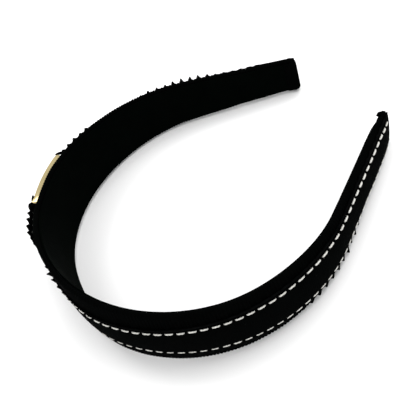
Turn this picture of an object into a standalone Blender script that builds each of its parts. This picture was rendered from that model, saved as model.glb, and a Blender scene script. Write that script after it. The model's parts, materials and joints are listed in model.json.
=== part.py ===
"""Wide padded headband with a flat bow, lying on its side.

A springy flat core is bent into a U, padded on its outer face, wrapped in ribbed cloth and lined
inside.  A ribbon runs along the middle of the outer face between two picot trims, held by two rows
of saddle stitches.  Beside the crown the same ribbon is folded into a flat bow, and a metal clamp
plate grips the bow's waist.  A folded cloth tab closes each end of the band.

World frame: metres, +Z up, +X from the crown towards the open ends, +Y towards the arm that
carries the bow.  The origin is the bottom centre of the whole band.

Band frame: s is the distance along the band from the crown's apex, positive towards +Y.  "offset"
is measured outwards from the reference line, and "across" is measured up the band's width from its
middle.  Every solid is built in the band frame and laid down on its edge at the end.
"""

import math

import bmesh
import bpy
from mathutils import Matrix, Vector

# ---------------------------------------------------------------- driving dimensions, in metres
MM = 0.001

# Plan of the reference line: a round crown and sides, then two straight arms.
BAND_RADIUS = 65 * MM
ARC_HALF_LENGTH = 136 * MM
HALF_LENGTH = 191.2 * MM

# Half widths of the wrapped band, how early it tapers, and where the last narrowing starts.
CROWN_HALF_WIDTH = 19.5 * MM
ARM_HALF_WIDTH = 10.6 * MM
END_HALF_WIDTH = 8.6 * MM
TAPER_POWER = 0.75
TAPER_SHARE = 0.9

# How far the padded outer face stands out at the middle of its width.
CROWN_BULGE = 1.2 * MM
ARM_BULGE = 1.6 * MM

# Cloth, core and padding.
GAP = 0.3 * MM
EDGE_RADIUS = 1.1 * MM
COVER_THICKNESS = 0.4 * MM
HEM_WIDTH = 5.0 * MM
LINING_THICKNESS = 0.4 * MM
LINING_MARGIN = 0.2 * MM
CORE_THICKNESS = 1.1 * MM
CORE_WIDTH_SHARE = 0.86
CORE_END_CLEARANCE = 1.5 * MM
PAD_WIDTH_SHARE = 0.55
PAD_LEAST_THICKNESS = 0.25 * MM
PAD_END_CLEARANCE = 4.0 * MM

# Centre ribbon, picot trims and saddle stitches share one pitch.
PITCH_COUNT = 92
RIBBON_HALF_WIDTH = 8.0 * MM
RIBBON_THICKNESS = 0.5 * MM
TRIM_INNER_EDGE = 8.3 * MM
TRIM_VALLEY = 8.9 * MM
TRIM_PEAK = 10.0 * MM
TRIM_THICKNESS = 0.4 * MM
TRIM_FLARE = 1.3 * MM
TRIM_VALLEY_FLARE_SHARE = 0.3
TRIM_FLAT_FROM = 150 * MM
TRIM_FLAT_PEAK = 9.4 * MM
STITCH_ROW = 7.1 * MM
STITCH_WIDTH = 0.8 * MM
STITCH_HEIGHT = 0.5 * MM
STITCH_DIP_SHARE = 0.45

# Flat bow: a ribbon ring, flattened and pinched at its waist.
BOW_CENTRE = 54.8 * MM
BOW_WAIST_HALF = 11.8 * MM
BOW_LOOP_START = 13.0 * MM
BOW_LOOP_END = 33.3 * MM
BOW_ARM_LOOP_RISE = 1.3 * MM
BOW_ARM_LOOP_FALL_POWER = 0.4
BOW_CROWN_LOOP_RISE = 3.6 * MM
BOW_CROWN_LOOP_FALL_POWER = 1.6
BOW_RAMP_SHARE = 0.16
BOW_UNDERSIDE = 2.8 * MM
BOW_FOLD_RADIUS = 0.5 * MM
BOW_RIBBON_THICKNESS = 0.5 * MM
BOW_TIP_FLARE = 0.6 * MM
BOW_WAIST_PEAK = 9.2 * MM
BOW_STITCH_WIDTH = 0.8 * MM
BOW_STITCH_HEIGHT = 0.4 * MM
GLUE_PAD_HALF_WIDTH = 5.0 * MM

# Metal clamp plate: a flat top with two short legs turned down beside the bow's waist.
PLATE_HALF_WIDTH = 10.3 * MM
PLATE_TOP_THICKNESS = 1.3 * MM
PLATE_LEG_THICKNESS = 0.7 * MM
PLATE_LEG_DEPTH = 2.0 * MM
PLATE_CHAMFER = 0.4 * MM

# Folded cloth tabs on the two ends.
TAB_LENGTH = 6.0 * MM
TAB_THICKNESS = 0.5 * MM
TAB_SIDE_MARGIN = 0.3 * MM
TAB_TOP_HEIGHT = 0.9 * MM

# Number of flat steps that a curve is cut into.
ARC_STEPS = 27
ARM_STEPS = 4
FACE_STEPS = 6
EDGE_STEPS = 3
PLATE_STEPS = 6
TAB_FACE_STEPS = 4
WAIST_STEPS = 4
UNDER_STEPS = 11
LOOP_STEPS = 11
FOLD_STEPS = 4

PITCH = 2 * HALF_LENGTH / PITCH_COUNT
HEM_OFFSET = -2 * EDGE_RADIUS
LINING_OUTER = HEM_OFFSET - GAP
LINING_INNER = LINING_OUTER - LINING_THICKNESS
CORE_INNER = HEM_OFFSET + COVER_THICKNESS + GAP
CORE_OUTER = CORE_INNER + CORE_THICKNESS
BOW_WAIST_TOP = BOW_UNDERSIDE + BOW_RIBBON_THICKNESS + 2 * BOW_FOLD_RADIUS
PLATE_UNDERSIDE = BOW_WAIST_TOP + GAP + BOW_STITCH_HEIGHT + GAP

# Linear colours, roughness and metallic value of each material.
FINISHES = {
    "spring_plastic": ((0.05, 0.05, 0.055), 0.45, 0.0),
    "sponge": ((0.08, 0.08, 0.085), 0.95, 0.0),
    "ribbed_cloth": ((0.008, 0.008, 0.009), 0.75, 0.0),
    "lining_cloth": ((0.007, 0.007, 0.008), 0.60, 0.0),
    "ribbon_cloth": ((0.008, 0.008, 0.009), 0.70, 0.0),
    "picot_yarn": ((0.007, 0.007, 0.008), 0.80, 0.0),
    "white_thread": ((0.78, 0.77, 0.73), 0.60, 0.0),
    "pale_gold": ((0.85, 0.70, 0.42), 0.22, 1.0),
    "dried_glue": ((0.55, 0.52, 0.45), 0.50, 0.0),
}


# ---------------------------------------------------------------- the band's shape
def blend(share):
    """Smooth half-cosine step: 1 at share 0, 0 at share 1 and beyond."""
    return 0.5 + 0.5 * math.cos(math.pi * min(1.0, max(0.0, share)))


def half_width(s):
    """Half width of the wrapped band: a smooth taper, then a straight one at the very end."""
    share = abs(s) / HALF_LENGTH
    taper = blend((share / TAPER_SHARE) ** TAPER_POWER)
    narrowing = max(0.0, share - TAPER_SHARE) / (1 - TAPER_SHARE)
    arm = ARM_HALF_WIDTH + (END_HALF_WIDTH - ARM_HALF_WIDTH) * narrowing
    return arm + (CROWN_HALF_WIDTH - ARM_HALF_WIDTH) * taper


def face_half_width(s):
    """Half width of the crowned outer face, up to where the rounded edges start."""
    return half_width(s) - EDGE_RADIUS


def bulge(s):
    """Height of the crowned outer face at the middle of its width."""
    return ARM_BULGE + (CROWN_BULGE - ARM_BULGE) * blend(abs(s) / HALF_LENGTH)


def face_offset(s, across):
    """Offset of the cover's outer face."""
    return bulge(s) * (1 - (across / face_half_width(s)) ** 2)


def centre_line(s):
    """Plan position and outward normal of the reference line."""
    distance = abs(s)
    side = 1 if s >= 0 else -1
    turn = min(distance, ARC_HALF_LENGTH) / BAND_RADIUS
    arm = max(0.0, distance - ARC_HALF_LENGTH)
    x = BAND_RADIUS * (1 - math.cos(turn)) + arm * math.sin(turn)
    y = BAND_RADIUS * math.sin(turn) + arm * math.cos(turn)
    return (x, side * y), (-math.cos(turn), side * math.sin(turn))


def band_point(s, offset, across):
    """Band-frame coordinates of a point."""
    (x, y), (normal_x, normal_y) = centre_line(s)
    return Vector((x + normal_x * offset, y + normal_y * offset, across))


def steps(start, end, count):
    """count + 1 evenly spaced values from start to end."""
    return [start + (end - start) * i / count for i in range(count + 1)]


def band_stations(end_clearance=0.0):
    """Cutting places along the whole band, with one flat step centred on the apex."""
    arc = steps(-ARC_HALF_LENGTH, ARC_HALF_LENGTH, ARC_STEPS)
    arm = steps(ARC_HALF_LENGTH, HALF_LENGTH - end_clearance, ARM_STEPS)[1:]
    return [-s for s in reversed(arm)] + arc + arm


# ---------------------------------------------------------------- making solids
def make_materials():
    """One Principled material for each finish."""
    materials = {}
    for name, (colour, roughness, metallic) in FINISHES.items():
        material = bpy.data.materials.new(name)
        material.use_nodes = True
        shader = material.node_tree.nodes["Principled BSDF"]
        shader.inputs["Base Color"].default_value = (*colour, 1.0)
        shader.inputs["Roughness"].default_value = roughness
        shader.inputs["Metallic"].default_value = metallic
        materials[name] = material
    return materials


def sweep(solid, stations, outline):
    """Add one closed body: the loop outline(s) of (offset, across) points along the stations."""
    rings = [[solid.verts.new(band_point(s, *point)) for point in outline(s)] for s in stations]
    for ring, following in zip(rings, rings[1:]):
        for i in range(len(ring)):
            j = (i + 1) % len(ring)
            solid.faces.new((ring[i], ring[j], following[j], following[i]))
    solid.faces.new(rings[0][::-1])
    solid.faces.new(rings[-1])


def finish(name, solid, material, frame, smooth_angle=35.0):
    """Turn a bmesh into a named object that hangs from the frame."""
    bmesh.ops.recalc_face_normals(solid, faces=solid.faces)
    mesh = bpy.data.meshes.new(name)
    solid.to_mesh(mesh)
    solid.free()
    mesh.materials.append(material)
    mesh.shade_smooth()
    mesh.set_sharp_from_angle(angle=math.radians(smooth_angle))
    item = bpy.data.objects.new(name, mesh)
    bpy.context.scene.collection.objects.link(item)
    item.parent = frame
    return item


def swept_object(name, stations, outline, material, frame):
    """A named object that is one swept solid."""
    solid = bmesh.new()
    sweep(solid, stations, outline)
    return finish(name, solid, material, frame)


# ---------------------------------------------------------------- cross-sections
def wrap_path(s, inset):
    """Open path of the wrapped cloth, from one turned-in hem round the outer face to the other."""
    width = face_half_width(s)
    radius = EDGE_RADIUS - inset
    hem = (HEM_OFFSET + inset, width - HEM_WIDTH)
    edge = []
    for turn in steps(math.pi, 0.0, EDGE_STEPS + 1):
        offset = -EDGE_RADIUS + radius * math.cos(turn)
        edge.append((offset, width + radius * math.sin(turn)))
    upper = [hem] + edge
    face = [(face_offset(s, v) - inset, v) for v in steps(width, -width, FACE_STEPS)[1:-1]]
    lower = [(offset, -across) for offset, across in reversed(upper)]
    return upper + face + lower


def cover_outline(s):
    """Closed C-shaped section of the cloth cover."""
    return wrap_path(s, 0.0) + wrap_path(s, COVER_THICKNESS)[::-1]


def slab_outline(inner, outer, width):
    """Rectangular section."""
    return [(inner, -width), (outer, -width), (outer, width), (inner, width)]


def core_outline(s):
    """Flat springy strip."""
    return slab_outline(CORE_INNER, CORE_OUTER, CORE_WIDTH_SHARE * face_half_width(s))


def lining_outline(s):
    """Flat cloth glued over the turned-in hems."""
    return slab_outline(LINING_INNER, LINING_OUTER, face_half_width(s) - LINING_MARGIN)


def pad_outline(s):
    """Sponge between the core and the crowned cover."""
    width = PAD_WIDTH_SHARE * face_half_width(s)
    bottom = CORE_OUTER + GAP
    skin = COVER_THICKNESS + GAP
    top = [(max(face_offset(s, v) - skin, bottom + PAD_LEAST_THICKNESS), v)
           for v in steps(width, -width, TAB_FACE_STEPS)]
    return [(bottom, -width), (bottom, width)] + top


def ribbon_outline(s):
    """Ribbon that follows the crowned face."""
    across = steps(-RIBBON_HALF_WIDTH, RIBBON_HALF_WIDTH, FACE_STEPS)
    lower = [(face_offset(s, v) + GAP, v) for v in across]
    upper = [(offset + RIBBON_THICKNESS, v) for offset, v in lower]
    return lower + upper[::-1]


def trim_outline(s, side, peak):
    """Narrow trim outside the ribbon, whose pointed edge stands away from the face."""
    under_bow = abs(s - BOW_CENTRE) < BOW_LOOP_END + PITCH
    flat = under_bow or abs(s) > TRIM_FLAT_FROM
    flare = 0.0 if flat else TRIM_FLARE * (1.0 if peak else TRIM_VALLEY_FLARE_SHARE)
    tip = (TRIM_FLAT_PEAK if flat else TRIM_PEAK) if peak else TRIM_VALLEY
    tip = min(tip, half_width(s))
    root_offset = face_offset(s, TRIM_INNER_EDGE) + GAP
    tip_offset = face_offset(s, TRIM_VALLEY) + GAP + flare
    return [
        (root_offset, side * TRIM_INNER_EDGE),
        (root_offset + TRIM_THICKNESS, side * TRIM_INNER_EDGE),
        (tip_offset + TRIM_THICKNESS, side * tip),
        (tip_offset, side * tip),
    ]


def plate_outline(_s):
    """Clamp section: flat top with broken corners and two legs turned down."""
    top = PLATE_UNDERSIDE + PLATE_TOP_THICKNESS
    bottom = PLATE_UNDERSIDE - PLATE_LEG_DEPTH
    outer = PLATE_HALF_WIDTH
    inner = outer - PLATE_LEG_THICKNESS
    half = [
        (top, outer - PLATE_CHAMFER),
        (top - PLATE_CHAMFER, outer),
        (bottom, outer),
        (bottom, inner),
        (PLATE_UNDERSIDE, inner),
    ]
    return half + [(offset, -across) for offset, across in reversed(half)]


def glue_pad_outline(s):
    """Glue between the centre ribbon and the bow's waist."""
    across = steps(-GLUE_PAD_HALF_WIDTH, GLUE_PAD_HALF_WIDTH, TAB_FACE_STEPS)
    lower = [(face_offset(s, v) + GAP + RIBBON_THICKNESS + GAP, v) for v in across]
    top = BOW_UNDERSIDE - GAP
    return lower + [(top, GLUE_PAD_HALF_WIDTH), (top, -GLUE_PAD_HALF_WIDTH)]


# ---------------------------------------------------------------- the flat bow
def loop_height(share, side):
    """Height of a loop over its flat lower layer, from the waist (0) to its fold (1).

    The loop on the arm's side lies nearly flat; the one on the crown's side is puffed up.
    """
    ramp = blend(1 - share / BOW_RAMP_SHARE)
    if side > 0:
        puff = BOW_ARM_LOOP_RISE * (1 - share) ** BOW_ARM_LOOP_FALL_POWER
    else:
        puff = BOW_CROWN_LOOP_RISE * (1 - share) ** BOW_CROWN_LOOP_FALL_POWER
    return 2 * BOW_FOLD_RADIUS + ramp * puff


def half_bow_path(side):
    """Middle of the ribbon as (s, offset): under the waist, out, round one loop and back."""
    low = BOW_UNDERSIDE + BOW_RIBBON_THICKNESS / 2
    path = [(along, low) for along in steps(0.0, BOW_LOOP_END, UNDER_STEPS)]
    for turn in steps(0.0, math.pi, FOLD_STEPS)[1:-1]:
        along = BOW_LOOP_END + BOW_FOLD_RADIUS * math.sin(turn)
        path.append((along, low + BOW_FOLD_RADIUS * (1 - math.cos(turn))))
    for share in steps(1.0, 0.0, LOOP_STEPS):
        along = BOW_LOOP_START + (BOW_LOOP_END - BOW_LOOP_START) * share
        path.append((along, low + loop_height(share, side)))
    for along in steps(BOW_LOOP_START, 0.0, WAIST_STEPS)[1:]:
        path.append((along, low + loop_height(0.0, side)))
    return [(BOW_CENTRE + side * along, offset) for along, offset in path]


def bow_path():
    """The whole ribbon ring as a closed run of (s, offset) points."""
    return half_bow_path(1) + half_bow_path(-1)[::-1][1:-1]


def path_normals(path):
    """Unit normals of a closed run of (s, offset) points, to the right of its direction."""
    normals = []
    for i in range(len(path)):
        before, after = path[i - 1], path[(i + 1) % len(path)]
        along, up = after[0] - before[0], after[1] - before[1]
        length = math.hypot(along, up)
        normals.append((up / length, -along / length))
    return normals


def build_bow(name, material, frame):
    """Picot-edged ribbon ring, its teeth at every second point of the path."""
    path = bow_path()
    normals = path_normals(path)
    solid = bmesh.new()
    rings = []
    for i, ((s, offset), (normal_s, normal_offset)) in enumerate(zip(path, normals)):
        in_loop = abs(s - BOW_CENTRE) > BOW_LOOP_START
        peak = TRIM_PEAK if in_loop else BOW_WAIST_PEAK
        tip = peak if i % 2 else TRIM_VALLEY
        upper_layer = offset > BOW_UNDERSIDE + BOW_RIBBON_THICKNESS
        flare = BOW_TIP_FLARE if upper_layer and in_loop else 0.0
        half = BOW_RIBBON_THICKNESS / 2
        ring = []
        for level, order in ((half, 1), (-half, -1)):
            for across in (-tip, -RIBBON_HALF_WIDTH, RIBBON_HALF_WIDTH, tip)[::order]:
                away = level + (flare if abs(across) > RIBBON_HALF_WIDTH else 0.0)
                point = band_point(s + normal_s * away, offset + normal_offset * away, across)
                ring.append(solid.verts.new(point))
        rings.append(ring)
    for ring, following in zip(rings, rings[1:] + rings[:1]):
        for i in range(len(ring)):
            j = (i + 1) % len(ring)
            solid.faces.new((ring[i], ring[j], following[j], following[i]))
    return finish(name, solid, material, frame)


def build_bow_stitches(name, side, material, frame):
    """Thread along the bow's upper layer, rising and dipping at every point of the path."""
    ring = bow_path()
    floor = BOW_UNDERSIDE + BOW_RIBBON_THICKNESS
    normals = path_normals(ring)
    clearance = BOW_RIBBON_THICKNESS / 2 + GAP
    solid = bmesh.new()
    rings = []
    chosen = [(p, n) for p, n in zip(ring, normals) if p[1] > floor]
    for i, ((s, offset), (normal_s, normal_offset)) in enumerate(sorted(chosen)):
        height = BOW_STITCH_HEIGHT * (1.0 if i % 2 else STITCH_DIP_SHARE)
        corners = []
        for away, edge in ((0.0, -0.5), (height, -0.5), (height, 0.5), (0.0, 0.5)):
            distance = clearance + away
            across = side * STITCH_ROW + edge * BOW_STITCH_WIDTH
            point = band_point(s + normal_s * distance, offset + normal_offset * distance, across)
            corners.append(solid.verts.new(point))
        rings.append(corners)
    for first, second in zip(rings, rings[1:]):
        for i in range(4):
            j = (i + 1) % 4
            solid.faces.new((first[i], first[j], second[j], second[i]))
    solid.faces.new(rings[0][::-1])
    solid.faces.new(rings[-1])
    return finish(name, solid, material, frame)


# ---------------------------------------------------------------- pieces with repeated or end parts
def pitch_centres():
    """Middle of every stitch and picot."""
    return [-HALF_LENGTH + (i + 0.5) * PITCH for i in range(PITCH_COUNT)]


def build_trim(name, side, material, frame):
    """Saw-toothed trim along one edge of the ribbon, one tooth at every pitch."""
    teeth = {}
    for centre in pitch_centres():
        teeth[round(centre, 7)] = True
        teeth[round(centre + PITCH / 2, 7)] = False
    teeth[round(-HALF_LENGTH, 7)] = False
    stations = sorted(teeth)
    return swept_object(name, stations, lambda s: trim_outline(s, side, teeth[s]), material, frame)


def build_stitches(name, side, material, frame):
    """One thread that rises over the ribbon at every stitch and dips between stitches."""
    rises = {}
    for centre in pitch_centres():
        rises[round(centre, 7)] = True
        rises[round(centre + PITCH / 2, 7)] = False
    rises[round(-HALF_LENGTH, 7)] = False

    def outline(s):
        share = 1.0 if rises[s] else STITCH_DIP_SHARE
        base = face_offset(s, STITCH_ROW) + GAP + RIBBON_THICKNESS + GAP
        low, high = side * STITCH_ROW - STITCH_WIDTH / 2, side * STITCH_ROW + STITCH_WIDTH / 2
        top = base + STITCH_HEIGHT * share
        return [(base, low), (top, low), (top, high), (base, high)]

    return swept_object(name, sorted(rises), outline, material, frame)


def build_tab(name, side, material, frame):
    """Folded tab: a leg glued over the lining, and a wall that closes the band's end."""
    solid = bmesh.new()
    end = side * HALF_LENGTH
    width = half_width(end) + TAB_SIDE_MARGIN
    inner = LINING_INNER - GAP - TAB_THICKNESS
    leg = slab_outline(inner, inner + TAB_THICKNESS, width)
    crown = [(face_offset(end, v) + TAB_TOP_HEIGHT, v)
             for v in steps(-face_half_width(end), face_half_width(end), TAB_FACE_STEPS)]
    wall_start = end + side * GAP
    wall_end = wall_start + side * TAB_THICKNESS

    def ring(s, outline):
        return [solid.verts.new(band_point(s, *point)) for point in outline]

    def skin(first, second):
        for i in range(len(first)):
            j = (i + 1) % len(first)
            solid.faces.new((first[i], first[j], second[j], second[i]))

    leg_start = ring(end - side * TAB_LENGTH, leg)
    leg_end = ring(wall_start, leg)
    skin(leg_start, leg_end)
    solid.faces.new(leg_start)
    near_crown = ring(wall_start, crown)
    near_wall = [leg_end[0], leg_end[1]] + near_crown + [leg_end[2], leg_end[3]]
    far_wall = ring(wall_end, [leg[0], leg[1]] + crown + [leg[2], leg[3]])
    skin(near_wall, far_wall)
    solid.faces.new(far_wall)
    solid.faces.new([leg_end[1]] + near_crown + [leg_end[2]])
    return finish(name, solid, material, frame)


# ---------------------------------------------------------------- assembly
def lay_on_floor(frame, supports, everything):
    """Tip the band until crown and ends touch z = 0, with the origin under its middle."""
    points = [corner.co for item in supports for corner in item.data.vertices if corner.co.z < 0]
    middle_x = max(point.x for point in points) / 2
    ends = [point for point in points if point.x > middle_x]
    tilt = max(min(math.atan2(end.z - point.z, end.x - point.x) for end in ends)
               for point in points if point.x < middle_x)
    turn = Matrix.Rotation(tilt, 3, "Y")
    placed = [turn @ corner.co for item in everything for corner in item.data.vertices]
    low = Vector([min(point[axis] for point in placed) for axis in range(3)])
    high = Vector([max(point[axis] for point in placed) for axis in range(3)])
    frame.rotation_euler = (0.0, tilt, 0.0)
    frame.location = (-(low.x + high.x) / 2, -(low.y + high.y) / 2, -low.z)


def main():
    for item in list(bpy.data.objects):
        bpy.data.objects.remove(item, do_unlink=True)
    cloth = make_materials()
    frame = bpy.data.objects.new("band_frame", None)
    bpy.context.scene.collection.objects.link(frame)

    whole = band_stations()
    core = swept_object("core_band", band_stations(CORE_END_CLEARANCE), core_outline,
                        cloth["spring_plastic"], frame)
    pad = swept_object("sponge_pad", band_stations(PAD_END_CLEARANCE), pad_outline,
                       cloth["sponge"], frame)
    cover = swept_object("outer_cover", whole, cover_outline, cloth["ribbed_cloth"], frame)
    lining = swept_object("inner_lining", whole, lining_outline, cloth["lining_cloth"], frame)
    ribbon = swept_object("centre_ribbon", whole, ribbon_outline, cloth["ribbon_cloth"], frame)
    pieces = [core, pad, cover, lining, ribbon]

    for label, side in (("upper", 1), ("lower", -1)):
        pieces.append(build_trim(label + "_picot_trim", side, cloth["picot_yarn"], frame))
        pieces.append(build_stitches(label + "_stitches", side, cloth["white_thread"], frame))

    waist = steps(BOW_CENTRE - BOW_WAIST_HALF, BOW_CENTRE + BOW_WAIST_HALF, PLATE_STEPS)
    pieces.append(build_bow("bow_ribbon", cloth["ribbon_cloth"], frame))
    for label, side in (("upper", 1), ("lower", -1)):
        pieces.append(build_bow_stitches("bow_" + label + "_stitches", side,
                                         cloth["white_thread"], frame))
    pieces.append(swept_object("clamp_plate", waist, plate_outline, cloth["pale_gold"], frame))
    pieces.append(swept_object("bow_glue_pad", waist, glue_pad_outline, cloth["dried_glue"], frame))

    tabs = [build_tab("left_end_tab", 1, cloth["ribbed_cloth"], frame),
            build_tab("right_end_tab", -1, cloth["ribbed_cloth"], frame)]
    pieces += tabs
    lay_on_floor(frame, [cover] + tabs, pieces)


main()
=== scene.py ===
"""Looks of the wide padded headband with a flat bow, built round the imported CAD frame.

Lengths are in millimetres until a mesh is made.  Band coordinates are (s, o, v): the distance along
the band from the crown's apex, the offset outwards from the reference line, and the place across
the band's width.
"""
import json
import math

import bpy
import numpy as np
from mathutils import Matrix, Vector


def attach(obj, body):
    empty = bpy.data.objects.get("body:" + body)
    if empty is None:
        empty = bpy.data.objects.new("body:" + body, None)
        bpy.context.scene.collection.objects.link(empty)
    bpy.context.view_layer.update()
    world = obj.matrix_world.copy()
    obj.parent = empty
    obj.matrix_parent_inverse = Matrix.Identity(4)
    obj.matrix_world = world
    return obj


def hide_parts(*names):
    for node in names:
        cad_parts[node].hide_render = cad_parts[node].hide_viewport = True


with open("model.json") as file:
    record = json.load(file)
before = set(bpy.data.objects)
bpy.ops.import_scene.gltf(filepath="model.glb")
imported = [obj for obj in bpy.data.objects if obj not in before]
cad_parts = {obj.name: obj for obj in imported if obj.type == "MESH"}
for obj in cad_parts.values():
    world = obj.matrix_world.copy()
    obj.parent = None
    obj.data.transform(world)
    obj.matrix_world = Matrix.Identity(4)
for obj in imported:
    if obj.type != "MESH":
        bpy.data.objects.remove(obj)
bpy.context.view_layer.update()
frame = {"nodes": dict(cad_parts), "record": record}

MM = 0.001
# Metres: a point that would lie lower than this is eased towards the floor, never through it.
CONTACT = 0.0005

# ---------------------------------------------------------------- the band's sizes, as in the CAD
BAND_RADIUS = 65.0
ARC_HALF_LENGTH = 136.0
HALF_LENGTH = 191.2
CROWN_HALF_WIDTH = 19.5
ARM_HALF_WIDTH = 10.6
END_HALF_WIDTH = 8.6
TAPER_POWER = 0.75
TAPER_SHARE = 0.9
CROWN_BULGE = 1.2
ARM_BULGE = 1.6
EDGE_RADIUS = 1.1
HEM_OFFSET = -2.2
HEM_WIDTH = 5.0
COVER_THICKNESS = 0.4
CORE_INNER = -1.5
CORE_OUTER = -0.4
LINING_INNER = -2.9
LINING_OUTER = -2.5
PITCH_COUNT = 92
PITCH = 2 * HALF_LENGTH / PITCH_COUNT
RIBBON_HALF_WIDTH = 8.0
STITCH_ROW = 7.1
BOW_CENTRE = 54.8
BOW_UNDERSIDE = 2.8
BOW_LOOP_START = 12.2
BOW_LOOP_END = 33.3
PLATE_HALF_LENGTH = 11.8
PLATE_HALF_WIDTH = 10.3
PLATE_LEG = 0.7
PLATE_UNDERSIDE = 5.3
PLATE_TOP = 6.6
PLATE_BOTTOM = 3.3

# The stitches and picots draw their small differences from this, in the order they are made.
RANDOM = np.random.default_rng(20)


# ---------------------------------------------------------------- the band's shape
# A local amount is (size, middle along the band, reach to either side).
NEAR_TIP_WIDENING = (0.45, -180.0, 12.0)
FAR_ARM_NARROWING = (1.0, 171.0, 26.0)
END_FLATTENING = 0.7
END_FLATTENING_START = 162.0


def blend(share):
    """Smooth half-cosine step: 1 at share 0, 0 at share 1 and beyond."""
    return 0.5 + 0.5 * np.cos(np.pi * np.clip(share, 0.0, 1.0))


def local(s, amount):
    """A local amount at each place: all of it at its middle, fading to none at its reach."""
    size, middle, reach = amount
    return size * blend(np.abs(s - middle) / reach)


def climb(distance, start, length, most=1.0):
    """Straight climb from 0 at start to 1 a length further on, held at most."""
    return np.clip((distance - start) / length, 0, most)


def half_width(s):
    """Half width of the wrapped band."""
    share = np.abs(s) / HALF_LENGTH
    taper = blend((share / TAPER_SHARE) ** TAPER_POWER)
    narrowing = np.maximum(0.0, share - TAPER_SHARE) / (1 - TAPER_SHARE)
    arm = ARM_HALF_WIDTH + (END_HALF_WIDTH - ARM_HALF_WIDTH) * narrowing
    uneven = local(s, NEAR_TIP_WIDENING) - local(s, FAR_ARM_NARROWING)
    return arm + (CROWN_HALF_WIDTH - ARM_HALF_WIDTH) * taper + uneven


def bulge(s):
    """Height of the crowned outer face, lower towards both ends."""
    ending = climb(np.abs(s), END_FLATTENING_START, HALF_LENGTH - END_FLATTENING_START)
    flatter = 1 - END_FLATTENING * ending ** 2
    return flatter * (ARM_BULGE + (CROWN_BULGE - ARM_BULGE) * blend(np.abs(s) / HALF_LENGTH))


def face_offset(s, v):
    """Offset of the outer face of the cover."""
    return bulge(s) * (1 - (v / (half_width(s) - EDGE_RADIUS)) ** 2)


def centre_line(s):
    """Plan position and outward normal of the reference line."""
    side = np.where(s >= 0, 1.0, -1.0)
    turn = np.minimum(np.abs(s), ARC_HALF_LENGTH) / BAND_RADIUS
    arm = np.maximum(np.abs(s) - ARC_HALF_LENGTH, 0.0)
    x = BAND_RADIUS * (1 - np.cos(turn)) + arm * np.sin(turn)
    y = side * (BAND_RADIUS * np.sin(turn) + arm * np.cos(turn))
    return x, y, -np.cos(turn), side * np.sin(turn)


def flat_point(s, o, v):
    """Points of the band before it is laid on the floor."""
    s, o, v = np.broadcast_arrays(np.asarray(s, float), o, v)
    x, y, nx, ny = centre_line(s)
    return np.stack([x + nx * o, y + ny * o, v], -1)


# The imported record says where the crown's lining faces the head, which gives tilt and place.  That
# spot lies on the lining's middle facet, between the facet's two ends.
REST_SPOT = next(m for m in frame["record"]["mounts"] if m["name"] == "head_rest")
TILT = math.atan2(-REST_SPOT["axis"][2], REST_SPOT["axis"][0])
ARC_FACETS = 27  # as many as the CAD's arc has
REST_SHARE = 0.63
REST_ACROSS = 6.0
FACET_HALF = ARC_HALF_LENGTH / ARC_FACETS
REST_FLAT = REST_SHARE * flat_point(-FACET_HALF, LINING_INNER, REST_ACROSS)
REST_FLAT = REST_FLAT + (1 - REST_SHARE) * flat_point(FACET_HALF, LINING_INNER, REST_ACROSS)
TURN = np.array(Matrix.Rotation(TILT, 3, "Y"))
SHIFT = np.array(REST_SPOT["pos_m"]) / MM - TURN @ REST_FLAT


def to_world(points):
    """World points in metres of points of the band before it is laid down."""
    return (points @ TURN.T + SHIFT) * MM


# ---------------------------------------------------------------- the give of the soft band
# How much further out each end lies: the far arm, with the bow, is a little shorter.
FAR_END_STRETCH = -2.0
NEAR_END_STRETCH = 0.95
STRETCH_START = 150.0
# The lower edge sags to the floor halfway along both arms.
EDGE_SAG = 2.05
SAG_MIDDLE = 98.0
SAG_REACH = 62.0
# The upper edge rises on the near arm and dips at the plate's crown-side end.
NEAR_EDGE_RISE = (1.1, -110.0, 32.0)
CROWN_EDGE_DIP = (0.7, 42.0, 16.0)
# Past the edge, sag and rise grow a little further.
EDGE_MOST = 1.1
# The near tip is pinched thinner, and both tips bend inwards.
TIP_PINCH = 0.34
TIP_PINCHED_TO = 0.6
TIP_PINCH_START = 180.0
TIP_BEND = 0.5
TIP_BEND_START = 182.0
TIP_LENGTH = 9.0
# The crown's outer face is flatter, and its lower half leans inwards.
CROWN_FLATTENING = (1.1, -2.0, 32.0)
FLATTENING_BOTTOM = -0.9
FLATTENING_DEPTH = 2.5
CROWN_LEAN = (1.5, 4.0, 29.0)


def stretch(s):
    """How far each place moves along the band, away from the crown's apex or towards it."""
    share = climb(np.abs(s), STRETCH_START, HALF_LENGTH - STRETCH_START, 1.02)
    return np.sign(s) * np.where(s > 0, FAR_END_STRETCH, NEAR_END_STRETCH) * share ** 2


def sideways(s, v):
    """How far each place moves across: the lower edge sags and the upper edge rises or dips."""
    share = v / half_width(s)
    sag = EDGE_SAG * blend(np.abs(np.abs(s) - SAG_MIDDLE) / SAG_REACH) ** 0.7
    rise = local(s, NEAR_EDGE_RISE) - local(s, CROWN_EDGE_DIP)
    return rise * np.clip(share, 0, EDGE_MOST) - sag * np.clip(-share, 0, EDGE_MOST)


def place(s, o, v):
    """World points in metres of band coordinates, with the give of a soft object added."""
    s, o, v = np.broadcast_arrays(np.asarray(s, float), o, v)
    pinch = TIP_PINCH * climb(-s, TIP_PINCH_START, TIP_LENGTH) ** 1.5
    bend = TIP_BEND * climb(np.abs(s), TIP_BEND_START, TIP_LENGTH, 1.1) ** 2
    flatter = local(s, CROWN_FLATTENING) * climb(o, FLATTENING_BOTTOM, FLATTENING_DEPTH)
    inwards = local(s, CROWN_LEAN) * np.clip(-v / CROWN_HALF_WIDTH, 0, 1) ** 2
    o = o + pinch * (TIP_PINCHED_TO - o) - bend - flatter - inwards
    points = to_world(flat_point(s + stretch(s), o, v + sideways(s, v)))
    height = points[..., 2]
    points[..., 2] = np.where(height < CONTACT, CONTACT * np.exp(height / CONTACT - 1), height)
    return points


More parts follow.
